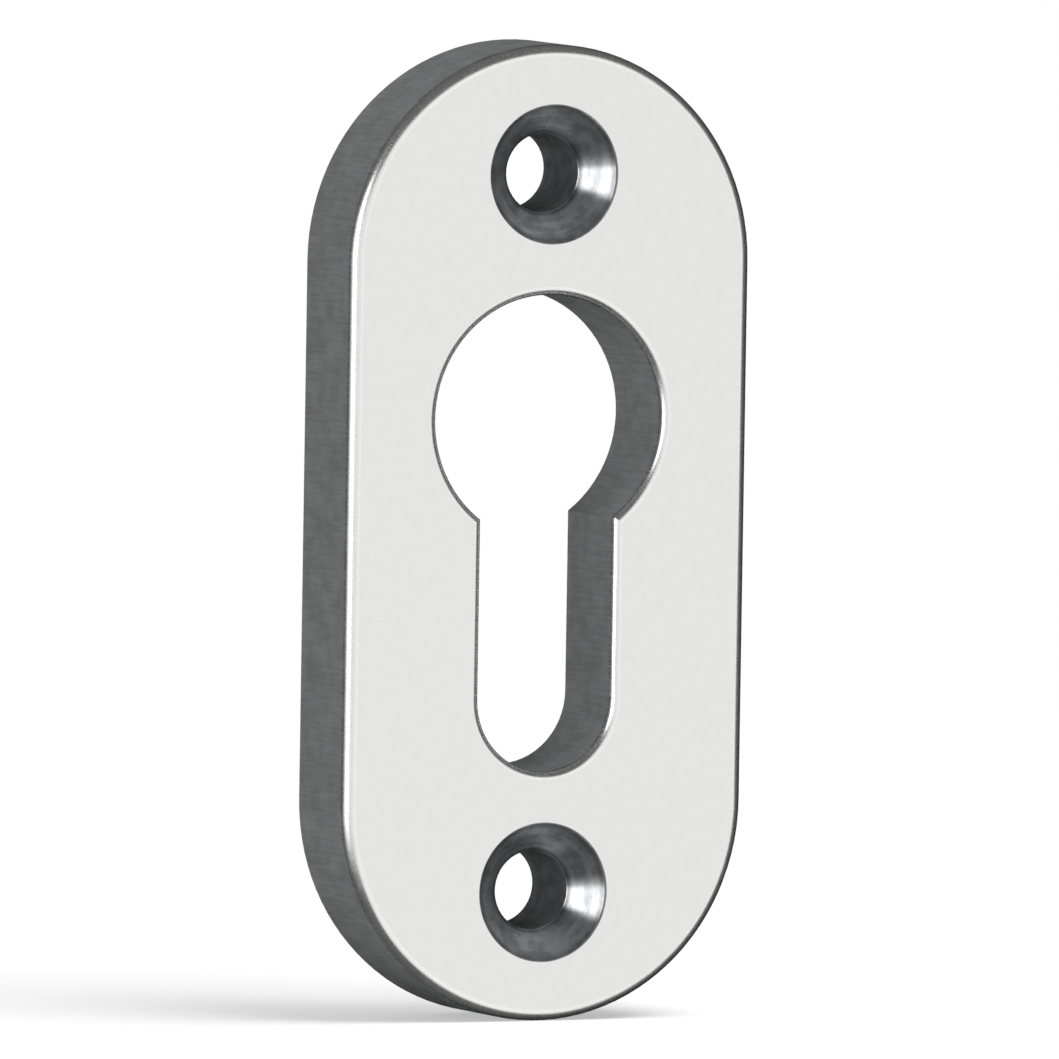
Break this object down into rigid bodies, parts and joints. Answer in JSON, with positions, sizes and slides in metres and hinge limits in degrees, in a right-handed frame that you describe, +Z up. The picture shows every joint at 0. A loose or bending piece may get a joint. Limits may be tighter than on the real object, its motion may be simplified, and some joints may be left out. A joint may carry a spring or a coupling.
{
  "type": "keyhole escutcheon",
  "caption": "Oval door lock escutcheon plate in satin metal, with a keyhole-shaped opening for a profile lock cylinder and a countersunk screw hole above and below it.",
  "frame": {"origin": "in the plane of the back face, half way between the two screw holes", "axes": "+Z up along the length of the plate as it hangs on the door, -Y out of the front face, +Y into the door, +X to the right of someone who looks at the front"},
  "size_m": [0.0304, 0.008, 0.068],
  "materials": {
    "satin_aluminium": "satin"
  },
  "bodies": {
    "root": {"escutcheon_plate": "satin_aluminium"}
  },
  "joints": []
}
